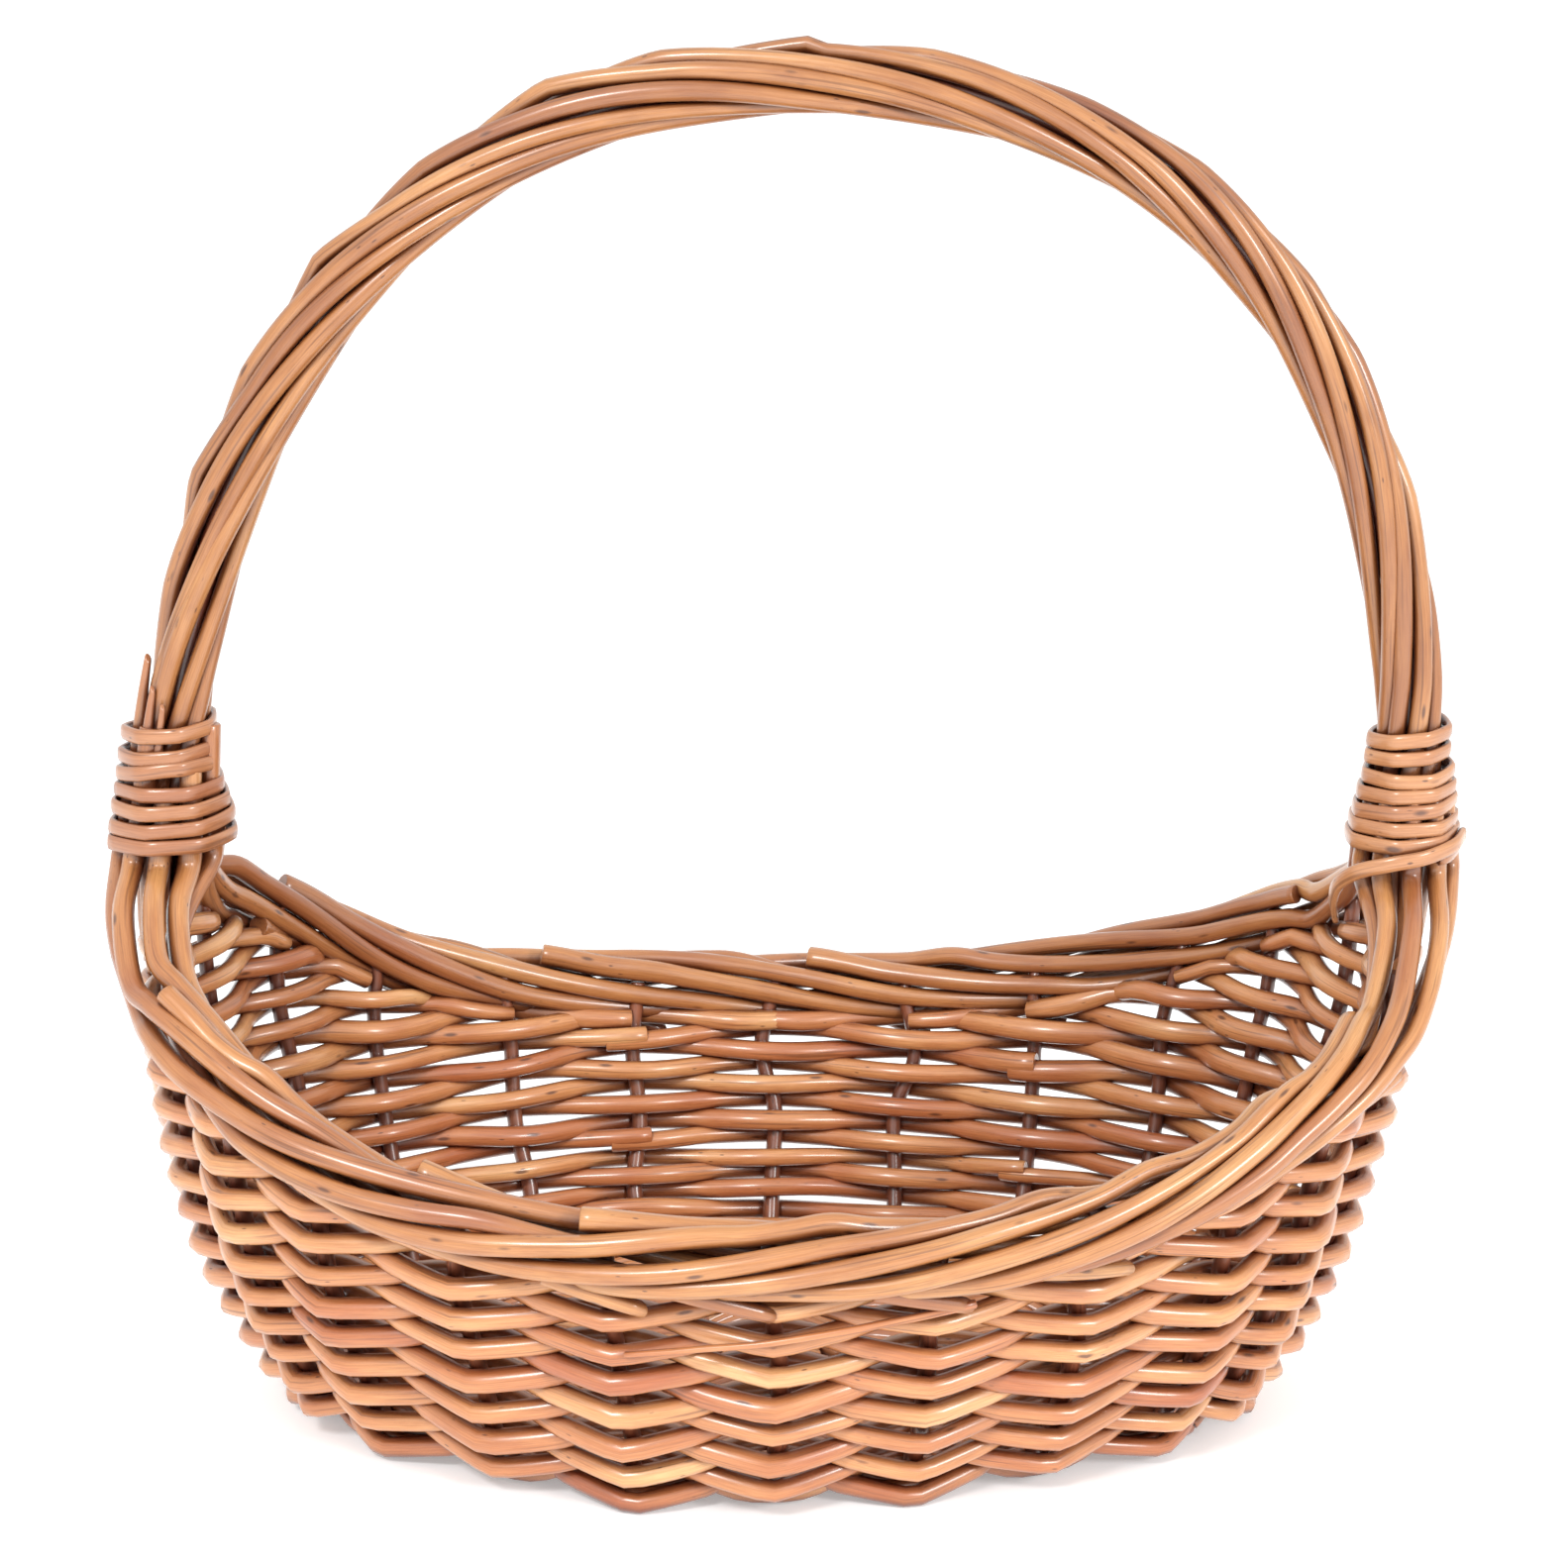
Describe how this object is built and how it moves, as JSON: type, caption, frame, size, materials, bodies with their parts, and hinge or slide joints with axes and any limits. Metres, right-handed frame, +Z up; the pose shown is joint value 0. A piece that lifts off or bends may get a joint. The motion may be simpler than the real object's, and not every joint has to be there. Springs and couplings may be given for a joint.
{
  "type": "woven market basket",
  "caption": "Oval willow market basket with a woven wall, a roped border that sweeps up at the ends and a tall roped arch handle.",
  "frame": {"origin": "middle of the underside, on the surface the basket stands on", "axes": "+X along the basket's length, towards the right-hand handle foot; +Y from front to back; +Z up"},
  "size_m": [0.4037, 0.2588, 0.4118],
  "materials": {
    "weaver_willow": "buff willow, varnished to a soft gloss",
    "border_willow": "thick buff willow, varnished to a soft gloss",
    "stake_willow": "darker buff willow, satin",
    "handle_willow": "buff willow rods, varnished to a soft gloss",
    "skein_willow": "flat shaved willow skein, satin"
  },
  "bodies": {
    "root": {"base_cross_sticks": "stake_willow", "base_long_sticks": "stake_willow", "base_weave": "weaver_willow", "foot_rod": "weaver_willow", "front_stakes": "stake_willow", "back_stakes": "stake_willow", "left_stakes": "stake_willow", "right_stakes": "stake_willow", "wall_row_01": "weaver_willow", "wall_row_02": "weaver_willow", "wall_row_03": "weaver_willow", "wall_row_04": "weaver_willow", "wall_row_05": "weaver_willow", "wall_row_06": "weaver_willow", "wall_row_07": "weaver_willow", "wall_row_08": "weaver_willow", "wall_row_09": "weaver_willow", "wall_row_10": "weaver_willow", "wall_row_11": "weaver_willow", "wall_row_12": "weaver_willow", "wall_row_13": "weaver_willow", "left_packing": "weaver_willow", "right_packing": "weaver_willow", "front_border_rod_01": "border_willow", "front_border_rod_02": "border_willow", "front_border_rod_03": "border_willow", "front_border_rod_04": "border_willow", "front_border_rod_05": "border_willow", "back_border_rod_01": "border_willow", "back_border_rod_02": "border_willow", "back_border_rod_03": "border_willow", "back_border_rod_04": "border_willow", "back_border_rod_05": "border_willow", "handle_bow": "stake_willow", "handle_rod_01": "handle_willow", "handle_rod_02": "handle_willow", "handle_rod_03": "handle_willow", "handle_rod_04": "handle_willow", "handle_rod_05": "handle_willow", "handle_rod_06": "handle_willow", "handle_rod_07": "handle_willow", "handle_rod_08": "handle_willow", "left_binding": "skein_willow", "right_binding": "skein_willow"}
  },
  "joints": []
}
